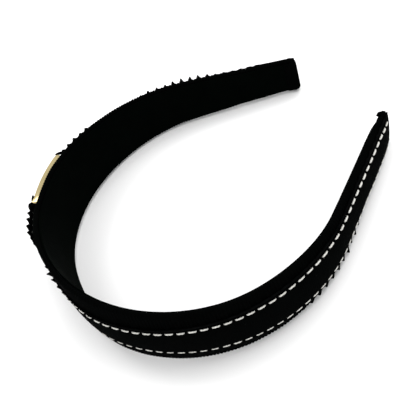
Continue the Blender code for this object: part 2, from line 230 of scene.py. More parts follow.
# ---------------------------------------------------------------- camera
# The camera's turn as a rotation vector in radians, and where the pivot, a point between the arms,
# lies as seen from the camera: to the right, down and ahead, in millimetres.
CAMERA_TURN = (2.276, -0.800, -0.066)
CAMERA_SHIFT = (-9.612, -1.303, 262.236)
CAMERA_PIVOT = (60.0, 0.0, 0.0)
CAMERA_LENS = 53.97


def add_camera():
    """Perspective camera above the near arm, looking down at the whole band."""
    rotation = Vector(CAMERA_TURN)
    turn = np.array(Matrix.Rotation(rotation.length, 3, rotation.normalized()))
    spot = np.array(CAMERA_PIVOT) - turn.T @ np.array(CAMERA_SHIFT)
    right, down, ahead = (TURN @ row for row in turn)
    matrix = Matrix.Identity(4)
    for column, direction in enumerate((right, -down, -ahead)):
        for row in range(3):
            matrix[row][column] = direction[row]
    matrix.translation = Vector(to_world(spot))
    data = bpy.data.cameras.new("camera")
    data.lens = CAMERA_LENS
    data.clip_start = 0.01
    camera = bpy.data.objects.new("camera", data)
    camera.matrix_world = matrix
    bpy.context.scene.collection.objects.link(camera)
    bpy.context.scene.camera = camera


# ---------------------------------------------------------------- making meshes
def signed_volume(points, quads):
    """Six times the volume inside, with the sign of the faces' direction."""
    a, b, c, d = (points[quads[:, i]] for i in range(4))
    first = np.einsum("ij,ij->i", a, np.cross(b, c))
    second = np.einsum("ij,ij->i", a, np.cross(c, d))
    return float((first + second).sum())


def mesh_object(name, points, quads, caps, material, uv=None, sharp=None):
    """A smooth-shaded object from points in metres, quads and cap polygons, facing outwards."""
    if signed_volume(points, quads) < 0:
        quads = quads[:, ::-1]
        caps = [cap[::-1] for cap in caps]
    faces = quads.tolist() + [list(cap) for cap in caps]
    mesh = bpy.data.meshes.new(name)
    mesh.from_pydata(points.tolist(), [], faces)
    mesh.materials.append(material)
    mesh.shade_smooth()
    if sharp is not None:
        mesh.set_sharp_from_angle(angle=math.radians(sharp))
    if uv is not None:
        corners = np.zeros(len(mesh.loops), np.int32)
        mesh.loops.foreach_get("vertex_index", corners)
        layer = mesh.uv_layers.new(name="cloth")
        layer.data.foreach_set("uv", uv[corners].astype(np.float32).ravel())
    item = bpy.data.objects.new(name, mesh)
    bpy.context.scene.collection.objects.link(item)
    return item


def grid_faces(n, m, path_closed=False, start=0):
    """Quads between n closed rings of m points each, and the two end caps of an open path."""
    index = start + np.arange(n * m).reshape(n, m)
    this, following = (index, np.roll(index, -1, 0)) if path_closed else (index[:-1], index[1:])
    quads = np.stack([this, np.roll(this, -1, 1), np.roll(following, -1, 1), following], -1)
    caps = [] if path_closed else [index[0][::-1], index[-1]]
    return quads.reshape(-1, 4), caps


def swept(name, rings, material, uv=None, path_closed=False, sharp=None):
    """An object from closed rings of points in metres; edges over sharp degrees stay crisp."""
    n, m = rings.shape[:2]
    quads, caps = grid_faces(n, m, path_closed=path_closed)
    flat_uv = None if uv is None else uv.reshape(-1, 2)
    return mesh_object(name, rings.reshape(-1, 3), quads, caps, material, flat_uv, sharp)


def tube_rings(path, radius, sides, reference):
    """Rings of a round tube along a path of points; reference stays away from the path's run."""
    path = np.asarray(path, float)
    run = np.gradient(path, axis=0)
    run /= np.linalg.norm(run, axis=1)[:, None]
    across = np.cross(run, np.asarray(reference, float))
    across /= np.linalg.norm(across, axis=1)[:, None]
    up = np.cross(across, run)
    angle = np.arange(sides) * 2 * np.pi / sides
    radius = np.broadcast_to(radius, len(path))[:, None, None]
    cosine, sine = np.cos(angle)[None, :, None], np.sin(angle)[None, :, None]
    return path[:, None] + radius * (cosine * across[:, None] + sine * up[:, None])


def many_tubes(name, tubes, material):
    """One object from several tubes, each an array of rings in world metres."""
    points, quads, caps, start = [], [], [], 0
    for rings in tubes:
        n, m = rings.shape[:2]
        made, ends = grid_faces(n, m, start=start)
        if signed_volume(rings.reshape(-1, 3), made - start) < 0:
            made = made[:, ::-1]
            ends = [end[::-1] for end in ends]
        points.append(rings.reshape(-1, 3))
        quads.append(made)
        caps += ends
        start += n * m
    return mesh_object(name, np.concatenate(points), np.concatenate(quads), caps, material)


RIPPLE_WAVES = 7


def ripple(s, v, seed, size):
    """Gentle unevenness of hand-wrapped cloth: a few long waves in different directions."""
    rng = np.random.default_rng(seed)
    total = 0.0
    for _ in range(RIPPLE_WAVES):
        along, across = rng.uniform(0.05, 0.45), rng.uniform(-0.35, 0.35)
        total = total + np.sin(along * s + across * v + rng.uniform(0, 6.28))
    return size * total / RIPPLE_WAVES


# ---------------------------------------------------------------- materials
COOL = (0.75, 0.9, 1.0)
WARM = (1.0, 0.98, 0.94)


def new_material(name):
    """A Principled material, its shader, a node maker and the tree's link maker."""
    material = bpy.data.materials.new(name)
    material.use_nodes = True
    tree = material.node_tree
    shader = tree.nodes["Principled BSDF"]

    def node(kind, **settings):
        made = tree.nodes.new(kind)
        for key, value in settings.items():
            setattr(made, key, value)
        return made

    return material, shader, node, tree.links.new


def math_node(node, link, operation, first, second=None):
    """A Math node fed by sockets or numbers; returns its output."""
    made = node("ShaderNodeMath", operation=operation)
    for socket, value in zip(made.inputs, (first, second)):
        if value is None:
            continue
        if isinstance(value, (int, float)):
            socket.default_value = value
        else:
            link(value, socket)
    return made.outputs[0]


def noise(node, link, scale, detail):
    """Fractal noise over the object's own coordinates."""
    made = node("ShaderNodeTexNoise")
    made.inputs["Scale"].default_value = scale
    made.inputs["Detail"].default_value = detail
    link(node("ShaderNodeTexCoord").outputs["Object"], made.inputs["Vector"])
    return made.outputs["Fac"]


def mixed(node, link, fine, coarse):
    """Six parts of a fine pattern with four parts of a coarse one."""
    return math_node(node, link, "ADD", math_node(node, link, "MULTIPLY", fine, 0.6),
                     math_node(node, link, "MULTIPLY", coarse, 0.4))


def ramp(node, link, value, low, high):
    """Colour between low and high; noise seldom leaves the ramp's middle part."""
    made = node("ShaderNodeValToRGB")
    for element, position, colour in zip(made.color_ramp.elements, (0.3, 0.7), (low, high)):
        element.position = position
        element.color = (*colour, 1.0)
    link(value, made.inputs["Fac"])
    return made.outputs["Color"]


def spread(node, link, value, low, high):
    """Number between low and high."""
    made = node("ShaderNodeMapRange")
    made.inputs["To Min"].default_value = low
    made.inputs["To Max"].default_value = high
    link(value, made.inputs["Value"])
    return made.outputs["Result"]


def bump(node, link, shader, height, strength, distance):
    """Fine relief from a height socket; distance is in metres."""
    made = node("ShaderNodeBump")
    made.inputs["Strength"].default_value = strength
    made.inputs["Distance"].default_value = distance
    link(height, made.inputs["Height"])
    link(made.outputs["Normal"], shader.inputs["Normal"])


def add_sheen(shader, weight, roughness, tint, specular):
    """The soft sheen of fibres, and the little gloss that is left under it."""
    shader.inputs["Sheen Weight"].default_value = weight
    shader.inputs["Sheen Roughness"].default_value = roughness
    shader.inputs["Sheen Tint"].default_value = (*tint, 1.0)
    shader.inputs["Specular IOR Level"].default_value = specular


def cloth_material(name, low, high, roughness, sheen, along, across, strength):
    """Woven black cloth: yarns of the two given widths in mm, uneven dye and a little fuzz."""
    material, shader, node, link = new_material(name)
    uv = node("ShaderNodeUVMap", uv_map="cloth").outputs["UV"]
    split = node("ShaderNodeSeparateXYZ")
    link(uv, split.inputs[0])
    warp = math_node(node, link, "MULTIPLY", split.outputs["X"], 2 * math.pi / along)
    weft = math_node(node, link, "MULTIPLY", split.outputs["Y"], 2 * math.pi / across)
    warp = math_node(node, link, "SINE", warp)
    weft = math_node(node, link, "SINE", weft)
    weave = math_node(node, link, "MULTIPLY", warp, weft)
    fuzz = noise(node, link, 4200.0, 4.0)
    blotch = noise(node, link, 130.0, 4.0)
    height = math_node(node, link, "ADD", math_node(node, link, "MULTIPLY", weave, 0.5), fuzz)
    dye = mixed(node, link, fuzz, blotch)
    link(ramp(node, link, dye, low, high), shader.inputs["Base Color"])
    link(spread(node, link, blotch, roughness - 0.08, roughness + 0.1), shader.inputs["Roughness"])
    bump(node, link, shader, height, strength, 0.00012)
    add_sheen(shader, sheen, 0.45, COOL, 0.0008)
    return material


def yarn_material(name, low, high, roughness, sheen, tint, strength):
    """Spun yarn without a weave."""
    material, shader, node, link = new_material(name)
    fibre = noise(node, link, 3500.0, 5.0)
    blotch = noise(node, link, 220.0, 2.0)
    dye = mixed(node, link, fibre, blotch)
    link(ramp(node, link, dye, low, high), shader.inputs["Base Color"])
    link(spread(node, link, fibre, roughness - 0.1, roughness + 0.1), shader.inputs["Roughness"])
    bump(node, link, shader, fibre, strength, 0.0001)
    add_sheen(shader, sheen, 0.5, tint, 0.003)
    return material


def gold_material():
    """Polished pale gold with faint handling marks."""
    material, shader, node, link = new_material("polished_pale_gold")
    smear = noise(node, link, 160.0, 5.0)
    scratch = noise(node, link, 1800.0, 2.0)
    link(ramp(node, link, smear, (0.40, 0.325, 0.165), (0.48, 0.395, 0.21)),
         shader.inputs["Base Color"])
    link(spread(node, link, smear, 0.10, 0.18), shader.inputs["Roughness"])
    bump(node, link, shader, scratch, 0.04, 0.00005)
    shader.inputs["Metallic"].default_value = 1.0
    return material


def plain_material(name, low, high, roughness, scale, relief):
    """Moulded or foamed matter with a fine grain."""
    material, shader, node, link = new_material(name)
    grain = noise(node, link, scale, 4.0)
    link(ramp(node, link, grain, low, high), shader.inputs["Base Color"])
    link(spread(node, link, grain, roughness - 0.08, roughness + 0.08), shader.inputs["Roughness"])
    bump(node, link, shader, grain, relief, 0.0002)
    return material


GROSGRAIN = cloth_material(
    "black_grosgrain", (0.0003, 0.0004, 0.0004), (0.0014, 0.0016, 0.0015),
    roughness=0.62, sheen=0.002, along=0.26, across=0.30, strength=0.5)
RIBBON_CLOTH = cloth_material(
    "black_ribbon", (0.0003, 0.0004, 0.0004), (0.0013, 0.0015, 0.0014),
    roughness=0.56, sheen=0.002, along=0.21, across=0.30, strength=0.5)
SATIN = cloth_material(
    "black_satin_lining", (0.0003, 0.0006, 0.0005), (0.0010, 0.0016, 0.0012),
    roughness=0.50, sheen=0.001, along=0.18, across=0.12, strength=0.25)
PICOT_YARN = yarn_material(
    "black_picot_yarn", (0.0006, 0.0007, 0.0007), (0.0022, 0.0023, 0.0023),
    roughness=0.75, sheen=0.002, tint=COOL, strength=0.5)
WHITE_THREAD = yarn_material(
    "white_thread", (0.46, 0.455, 0.42), (0.72, 0.71, 0.675),
    roughness=0.62, sheen=0.05, tint=WARM, strength=0.35)
GOLD = gold_material()
CORE = plain_material(
    "black_spring_plastic", (0.035, 0.035, 0.04), (0.06, 0.06, 0.065),
    roughness=0.45, scale=900.0, relief=0.1)
SPONGE = plain_material(
    "dark_sponge", (0.05, 0.05, 0.055), (0.11, 0.11, 0.115),
    roughness=0.9, scale=1600.0, relief=0.8)
GLUE = plain_material(
    "dried_glue", (0.48, 0.44, 0.36), (0.62, 0.58, 0.50),
    roughness=0.45, scale=500.0, relief=0.4)


# ---------------------------------------------------------------- cover, lining, core and ribbon
RIB_PITCH = PITCH / 3
RIB_SAMPLES = 6
RIB_MEAN = 0.6
COVER_RIB_HEIGHT = 0.30
COVER_RIPPLE = 0.10
LINING_INSET = 0.2
LINING_RIPPLE = 0.10
LINING_FOLD_HEIGHT = 0.16
LINING_FOLD_WIDTH = 0.7
CORE_END_GAP = 1.5
CORE_WIDTH_SHARE = 0.86
SPONGE_END_GAP = 4.0
SPONGE_WIDTH_SHARE = 0.55
SPONGE_BOTTOM = -0.1
SPONGE_DEPTH = 0.75
SPONGE_THINNEST = 0.25
RIBBON_RISE = 0.85
RIBBON_UNDERSIDE = 0.2
RIBBON_RIB_PITCH = PITCH / 5
RIBBON_RIB_HEIGHT = 0.10
RIBBON_RIPPLE = 0.09
RIBBON_CORD_HEIGHT = 0.10
RIBBON_CORD_WIDTH = 0.3
STITCH_DENT = 0.30
STITCH_DENT_WIDTH = 0.75


def crowded(count):
    """Shares from -1 to 1, closer together towards both ends."""
    return np.sin(np.linspace(-1, 1, count) * np.pi / 2)


def cloth_uv(s, o, v):
    """Place on the flat cloth in mm: along the band, and round each ring from its first point."""
    length = np.hypot(np.diff(o, axis=1, prepend=o[:, :1]), np.diff(v, axis=1, prepend=v[:, :1]))
    return np.stack(np.broadcast_arrays(s, np.cumsum(length, axis=1)), -1)


def rib_stations(pitch, samples):
    """Places along the band, with a fixed number of samples for each rib."""
    count = int(round(2 * HALF_LENGTH / pitch)) * samples
    return np.linspace(-HALF_LENGTH, HALF_LENGTH, count + 1)


def rib_shape(angle):
    """Rounded rib with a narrow groove at both sides, from 0 to 1, for each half turn of angle."""
    return np.abs(np.sin(angle)) ** 0.7


def rib_height(s, pitch):
    """Height of the ribs at each place along the band, from 0 to 1."""
    return rib_shape(np.pi * (s + HALF_LENGTH) / pitch)


def make_cover():
    """Ribbed cloth wrapped over the outer face and turned in at both edges."""
    s = rib_stations(RIB_PITCH, RIB_SAMPLES)[:, None]
    width = half_width(s) - EDGE_RADIUS
    turns = np.linspace(np.pi, 0.0, 9)[None]
    face_share = np.linspace(1, -1, 19)[None, 1:-1]

    def wrap(inset, turns, face_share):
        """The cloth's surface at an inset below its outer face, and its normals."""
        radius = EDGE_RADIUS - inset
        edge_o = -EDGE_RADIUS + radius * np.cos(turns) + 0 * s
        edge_v = width + radius * np.sin(turns)
        hem_o = HEM_OFFSET + inset + 0 * s
        hem_v = width - HEM_WIDTH
        o = np.hstack([hem_o, edge_o, bulge(s) * (1 - face_share ** 2) - inset,
                       edge_o[:, ::-1], hem_o])
        v = np.hstack([hem_v, edge_v, width * face_share, -edge_v[:, ::-1], -hem_v])
        one, zero = np.ones(1), np.zeros(1)
        normal_o = np.hstack([-one, np.cos(turns)[0], np.ones(face_share.size),
                              np.cos(turns)[0][::-1], -one])
        normal_v = np.hstack([zero, np.sin(turns)[0], np.zeros(face_share.size),
                              -np.sin(turns)[0][::-1], zero])
        return o, v, normal_o, normal_v

    o, v, normal_o, normal_v = wrap(0.0, turns, face_share)
    ribs = COVER_RIB_HEIGHT * (rib_height(s, RIB_PITCH) - RIB_MEAN)
    rise = ribs + ripple(s, v, 3, COVER_RIPPLE)
    o = o + rise * normal_o
    v = v + rise * normal_v
    inner_o, inner_v, _, _ = wrap(COVER_THICKNESS, turns[:, ::2], face_share[:, ::4])
    o = np.hstack([o, inner_o[:, ::-1]])
    v = np.hstack([v, inner_v[:, ::-1]])
    cover = swept("ribbed_cover", place(s, o, v), GROSGRAIN, cloth_uv(s, o, v))
    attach(cover, "root")
    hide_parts("outer_cover")
    area = float(np.sum(np.diff(s[:, 0]) * (2 * half_width(s[:-1, 0]) + 2 * HEM_WIDTH))) * MM * MM


def make_lining():
    """Smooth cloth glued inside over the turned-in hems, with folded side edges."""
    s = np.linspace(-HALF_LENGTH, HALF_LENGTH, 520)[:, None]
    width = half_width(s) - EDGE_RADIUS - LINING_INSET
    share = np.linspace(-1, 1, 29)[None]
    v = width * share
    fold = LINING_FOLD_HEIGHT * np.exp(-((width - np.abs(v)) / LINING_FOLD_WIDTH) ** 2)
    inner = LINING_INNER + 0.07 - fold + ripple(s, v, 9, LINING_RIPPLE) * (1 - share ** 4)
    outer = LINING_OUTER + 0 * v[:, ::4]
    edge_v = width + 0.14
    middle = (LINING_INNER + LINING_OUTER) / 2 - 0.03 + 0 * s
    o = np.hstack([inner, middle, outer[:, ::-1], middle])
    v = np.hstack([v, edge_v, v[:, ::4][:, ::-1], -edge_v])
    lining = swept("satin_lining", place(s, o, v), SATIN, cloth_uv(s, o, v))
    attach(lining, "root")
    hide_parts("inner_lining")


def make_core():
    """Springy flat strip inside the band, with rounded edges."""
    ends = HALF_LENGTH - CORE_END_GAP
    s = np.linspace(-ends, ends, 300)[:, None]
    width = CORE_WIDTH_SHARE * (half_width(s) - EDGE_RADIUS)
    share = crowded(25)[None]
    half = (CORE_OUTER - CORE_INNER) / 2 * np.sqrt(1 - np.abs(share) ** 20) + 0 * s
    middle = (CORE_OUTER + CORE_INNER) / 2
    o = np.hstack([middle + half, (middle - half)[:, 1:-1][:, ::-1]])
    v = np.hstack([width * share, (width * share)[:, 1:-1][:, ::-1]])
    core = swept("spring_core", place(s, o, v), CORE)
    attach(core, "root")
    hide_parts("core_band")


def make_sponge():
    """Sponge strip between the core and the cover, crowned across its width."""
    ends = HALF_LENGTH - SPONGE_END_GAP
    s = np.linspace(-ends, ends, 300)[:, None]
    width = SPONGE_WIDTH_SHARE * (half_width(s) - EDGE_RADIUS)
    share = np.linspace(-1, 1, 13)[None]
    bottom = SPONGE_BOTTOM + 0 * share + 0 * s
    top = np.maximum(face_offset(s, width * share) - SPONGE_DEPTH, bottom + SPONGE_THINNEST)
    o = np.hstack([bottom, top[:, ::-1]])
    v = np.hstack([width * share, (width * share)[:, ::-1]])
    sponge = swept("sponge_strip", place(s, o, v), SPONGE)
    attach(sponge, "root")
    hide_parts("sponge_pad")


def stitch_pull(s, v):
    """How far the thread pulls the ribbon down round each stitch hole, from 0 to 1."""
    phase = np.mod(s + HALF_LENGTH, PITCH) - PITCH / 2
    row = np.exp(-((np.abs(v) - STITCH_ROW) / STITCH_DENT_WIDTH) ** 2)
    return row * (0.35 + 0.65 * np.exp(-(phase / STITCH_DENT_WIDTH) ** 2))


def ribbon_top(s, v):
    """Offset of the ribbon's outer surface, without ribs."""
    return face_offset(s, v) + RIBBON_RISE - STITCH_DENT * stitch_pull(s, v)


def make_ribbon():
    """Ribbon along the middle of the outer face."""
    s = rib_stations(RIBBON_RIB_PITCH, 5)[:, None]
    share = crowded(31)[None]
    v = RIBBON_HALF_WIDTH * share
    ribs = RIBBON_RIB_HEIGHT * (rib_height(s, RIBBON_RIB_PITCH) - RIB_MEAN)
    ribs = ribs * (1 - np.abs(share) ** 12)
    cord = np.exp(-((RIBBON_HALF_WIDTH - 0.35 - np.abs(v)) / RIBBON_CORD_WIDTH) ** 2)
    cord = RIBBON_CORD_HEIGHT * cord
    top = ribbon_top(s, v) + ribs + cord + ripple(s, v, 5, RIBBON_RIPPLE)
    under = face_offset(s, v[:, ::5]) + RIBBON_UNDERSIDE
    side = (top[:, :1] + under[:, :1]) / 2
    edge = RIBBON_HALF_WIDTH + 0.16 + 0 * s
    o = np.hstack([top, side, under[:, ::-1], side])
    v = np.hstack([v + 0 * s, edge, v[:, ::5][:, ::-1] + 0 * s, -edge])
    ribbon = swept("woven_ribbon", place(s, o, v), RIBBON_CLOTH, cloth_uv(s, o, v))
    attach(ribbon, "root")
    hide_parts("centre_ribbon")


# ---------------------------------------------------------------- stitches and picots
STITCH_LENGTH = 2.95
STITCH_RISE = 0.16
STITCH_DEPTH = 0.35
# The stitches get shorter and stouter from here towards both ends.
STOUT_START = 100.0
STOUT_LENGTH = 50.0
STOUT_SHORTER = 0.3
STOUT_THICKER = 0.3
# At the near tip both rows drift towards the lower edge.
TIP_DRIFT = 1.7
TIP_DRIFT_START = 172.0
TIP_DRIFT_LENGTH = 16.0
PLIES = 3
PLY_RADIUS = 0.21
PLY_SPREAD = (0.15, 0.20)
PLY_TWIST = 2.6
LOWER_ROW_SINK = 0.25


def stitch_tubes(centre, side, surface, place_point, stout=0.0):
    """The plies of one stitch: out of the ribbon, along it and back in; a stout one is short."""
    length = STITCH_LENGTH * (1 + RANDOM.uniform(-0.05, 0.05))
    length -= STOUT_SHORTER * stout
    slant = RANDOM.uniform(-0.05, 0.05)
    shift = RANDOM.uniform(-0.08, 0.08)
    start = RANDOM.uniform(0, 2 * np.pi)
    t = crowded(15)
    s = centre + t * length / 2
    drift = -TIP_DRIFT * climb(-s, TIP_DRIFT_START, TIP_DRIFT_LENGTH, 1.2) ** 2
    v = side * STITCH_ROW + shift + slant * t * length / 2 + drift
    arch = (1 - np.abs(t) ** 16) * (STITCH_RISE + STITCH_DEPTH) - STITCH_DEPTH
    core = np.stack([s, surface(s, v) + arch, v], -1)
    thick = 1 + STOUT_THICKER * stout
    high, wide = PLY_SPREAD
    tubes = []
    for ply in range(PLIES):
        angle = start + ply * 2 * np.pi / PLIES + t * PLY_TWIST
        offset = thick * np.stack([0 * t, high * np.sin(angle), wide * np.cos(angle)], -1)
        radius = thick * PLY_RADIUS * (1 - 0.5 * np.abs(t) ** 4)
        rings = tube_rings(core + offset, radius, 6, (0.0, 0.0, 1.0))
        tubes.append(place_point(rings[..., 0], rings[..., 1], rings[..., 2]))
    return tubes


def pitch_centres():
    """Middle of every picot; the stitches lie between two picots."""
    return -HALF_LENGTH + (np.arange(PITCH_COUNT) + 0.5) * PITCH


def make_stitches(label, side):
    """Row of separate white saddle stitches; it stops one stitch short of the far end."""
    tubes = []
    sink = 0.0 if side > 0 else LOWER_ROW_SINK
    for centre in pitch_centres()[1:-1] - PITCH / 2:
        stout = 1 - blend((abs(centre) - STOUT_START) / STOUT_LENGTH)
        tubes += stitch_tubes(centre, side, lambda s, v: ribbon_top(s, v) - sink, place, stout)
    row = many_tubes(label + "_stitch_row", tubes, WHITE_THREAD)
    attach(row, "root")
    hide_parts(label + "_stitches")


PICOT_INNER = 8.1
PICOT_VALLEY = 8.85
PICOT_REACH = 1.35
PICOT_WAIST_REACH = 0.3
PICOT_LIFT = 1.0
PICOT_RISE = 0.48
PICOT_HALF_BASE = 0.44 * PITCH
PICOT_STEPS = 14
PICOT_SIDES = 12
PICOT_YARN_RADIUS = 0.30
PICOT_TWIST_LENGTH = 0.8
# Towards both ends the picots droop and get shorter.
DROOP_START = 146.0
DROOP_LENGTH = 10.0
UNDER_BOW_LIFT = 0.1
UPPER_FAR_LIFT = (1.2, 131.0, 30.0)
UPPER_FAR_REACH = (0.25, 131.0, 30.0)
UPPER_CROWN_LIFT = (0.5, 8.0, 15.0)
# The lower picots lie nearly flat along this stretch of the near arm.
FLAT_MIDDLE = -54.0
FLAT_HALF_LENGTH = 46.0
FLAT_FADE = 18.0
# Near both ends the band is narrower than the ribbon's edging, which is held back to the band.
HELD_START = 150.0
HELD_LENGTH = 12.0
FAR_ROOM = (0.4, 165.0, 19.0)


def picot_rings(at, centres, reach, lift, lean, limit=np.inf):
    """Rings (place along, height, across) of a corded edging, pointed at each centre."""
    nearest = np.abs(at[:, None] - centres[None]).argmin(1)
    tooth = np.clip(1 - np.abs(at - centres[nearest]) / PICOT_HALF_BASE, 0, 1) ** 1.15
    tip = PICOT_VALLEY + reach[nearest] * np.minimum(tooth / 0.86, 1)
    tip = np.minimum(tip, limit)
    angle = np.arange(PICOT_SIDES) * 2 * np.pi / PICOT_SIDES
    share = (0.5 - 0.5 * np.cos(angle))[None]
    v = PICOT_INNER + share * (tip[:, None] - PICOT_INNER)
    beyond = np.clip((v - PICOT_VALLEY) / PICOT_REACH, 0, 1.2)
    twist = 1 + 0.25 * np.sin(2 * np.pi * at / PICOT_TWIST_LENGTH)[:, None]
    height = (PICOT_YARN_RADIUS - 0.08 * beyond) * np.sin(angle)[None] * twist
    height = height + lift[nearest][:, None] * beyond ** 1.2
    return at[:, None] + lean[nearest][:, None] * beyond ** 2, height, v


def make_picots(label, side):
    """Pointed yarn edging along one side of the ribbon."""
    centres = pitch_centres()
    count = len(centres)
    droop = climb(np.abs(centres), DROOP_START, DROOP_LENGTH)
    under_bow = np.abs(centres - BOW_CENTRE) < BOW_LOOP_END + 2
    lift = PICOT_LIFT * (1 - 1.3 * droop)
    if side > 0:
        lift = lift + local(centres, UPPER_FAR_LIFT) + local(centres, UPPER_CROWN_LIFT)
    else:
        flat = blend((np.abs(centres - FLAT_MIDDLE) - FLAT_HALF_LENGTH) / FLAT_FADE)
        lift = lift * (1 - 0.9 * flat)
    lift = np.where(under_bow, UNDER_BOW_LIFT, lift)
    lift = lift * (1 + RANDOM.uniform(-0.2, 0.2, count))
    reach = PICOT_REACH * (1 - 0.35 * droop) * (1 + RANDOM.uniform(-0.26, 0.16, count))
    if side > 0:
        reach = reach + local(centres, UPPER_FAR_REACH)
    lean = 0.25 + RANDOM.uniform(-0.4, 0.4, count)
    at = np.linspace(-HALF_LENGTH, HALF_LENGTH, PITCH_COUNT * PICOT_STEPS + 1)
    held = climb(np.abs(at), HELD_START, HELD_LENGTH)
    room = local(at, FAR_ROOM) - 0.1 - 0.5 * held
    limit = np.where(held > 0, half_width(at) + room, np.inf)
    along, height, v = picot_rings(at, centres, reach, lift, lean, limit)
    o = face_offset(along, np.minimum(v, PICOT_VALLEY + 0.05)) + PICOT_RISE + height
    edging = swept(label + "_picot_edging", place(along, o, side * v), PICOT_YARN)
    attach(edging, "root")
    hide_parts(label + "_picot_trim")


# ---------------------------------------------------------------- flat bow and clamp plate
RIBBON_HALF_THICKNESS = 0.25
BOW_MIDDLE = BOW_UNDERSIDE + RIBBON_HALF_THICKNESS
BOW_PITCH = 3.6
BOW_STEP = 0.17
FOLD_RADIUS = 0.55
LOOP_RISE_SHARE = 0.07
ARM_LOOP_START = 13.7
ARM_LOOP_HEIGHT = 1.2
# The crown-side loop's height from the plate (share 0) to its fold (share 1).
CROWN_LOOP_SHARES = (0.0, 0.10, 0.22, 0.40, 0.55, 0.70, 0.85, 1.0)
CROWN_LOOP_HEIGHTS = (3.2, 3.1, 2.3, 1.95, 1.9, 1.45, 0.7, 0.0)
# The ribbon's edges turn up where its upper layer is this far above the lower one.
CURL_START = 1.6
CURL_SPAN = 1.5
EDGE_CURL = 0.5
UPPER_LAYER = 0.6
BOW_STITCH_SURFACE = 0.20


def loop_profile(share, side):
    """Height of the loop's upper layer over its lower one: steep at the plate, low at the fold."""
    rise = 1 - blend(share / LOOP_RISE_SHARE)
    if side > 0:
        puff = ARM_LOOP_HEIGHT * (1 - share) ** 0.4
    else:
        puff = np.interp(share, CROWN_LOOP_SHARES, CROWN_LOOP_HEIGHTS)
    return 2 * FOLD_RADIUS + rise * puff


def half_bow(side):
    """Fine path of the ribbon as (s, offset), from under the waist round one loop and back."""
    parts = [np.stack([np.linspace(0, BOW_LOOP_END, 80), np.full(80, BOW_MIDDLE)], -1)]
    turn = np.linspace(0, np.pi, 9)[1:-1]
    parts.append(np.stack([BOW_LOOP_END + FOLD_RADIUS * np.sin(turn),
                           BOW_MIDDLE + FOLD_RADIUS * (1 - np.cos(turn))], -1))
    share = np.linspace(1, 0, 120)
    start = ARM_LOOP_START if side > 0 else BOW_LOOP_START
    parts.append(np.stack([start + (BOW_LOOP_END - start) * share,
                           BOW_MIDDLE + loop_profile(share, side)], -1))
    waist = np.linspace(start, 0, 40)[1:]
    parts.append(np.stack([waist, np.full(39, BOW_MIDDLE + 2 * FOLD_RADIUS)], -1))
    path = np.concatenate(parts)
    path[:, 0] = BOW_CENTRE + side * path[:, 0]
    return path


def even_path(path, step):
    """The closed path at even steps of its own length, with those lengths."""
    closed = np.vstack([path, path[:1]])
    length = np.concatenate([[0], np.cumsum(np.hypot(*np.diff(closed, axis=0).T))])
    count = int(round(length[-1] / step))
    at = np.arange(count) * length[-1] / count
    return np.stack([np.interp(at, length, closed[:, i]) for i in range(2)], -1), at, length[-1]


class Bow:
    """The ribbon ring, with a map from (length along it, height over it, across) to the band."""

    def __init__(self):
        raw = np.vstack([half_bow(1), half_bow(-1)[::-1][1:-1]])
        self.path, self.at, self.length = even_path(raw, BOW_STEP)
        run = np.roll(self.path, -2, 0) - np.roll(self.path, 2, 0)
        run /= np.linalg.norm(run, axis=1)[:, None]
        self.normal = np.stack([run[:, 1], -run[:, 0]], -1)

    def look_up(self, at, values):
        """A value kept for each step of the path, at any length along the ring."""
        return np.interp(np.mod(at, self.length), np.append(self.at, self.length),
                         np.append(values, values[0]))

    def band(self, at, height, v):
        """Band coordinates of a place on the ring."""
        s, o = (self.look_up(at, self.path[:, i]) for i in range(2))
        normal_s, normal_o = (self.look_up(at, self.normal[:, i]) for i in range(2))
        free = climb(o - BOW_MIDDLE, CURL_START, CURL_SPAN)
        height = height + EDGE_CURL * free * (np.abs(v) / RIBBON_HALF_WIDTH) ** 3
        return s + normal_s * height, o + normal_o * height, v

    def place(self, at, height, v):
        """World points in metres of a place on the ring."""
        return place(*self.band(at, height, v))


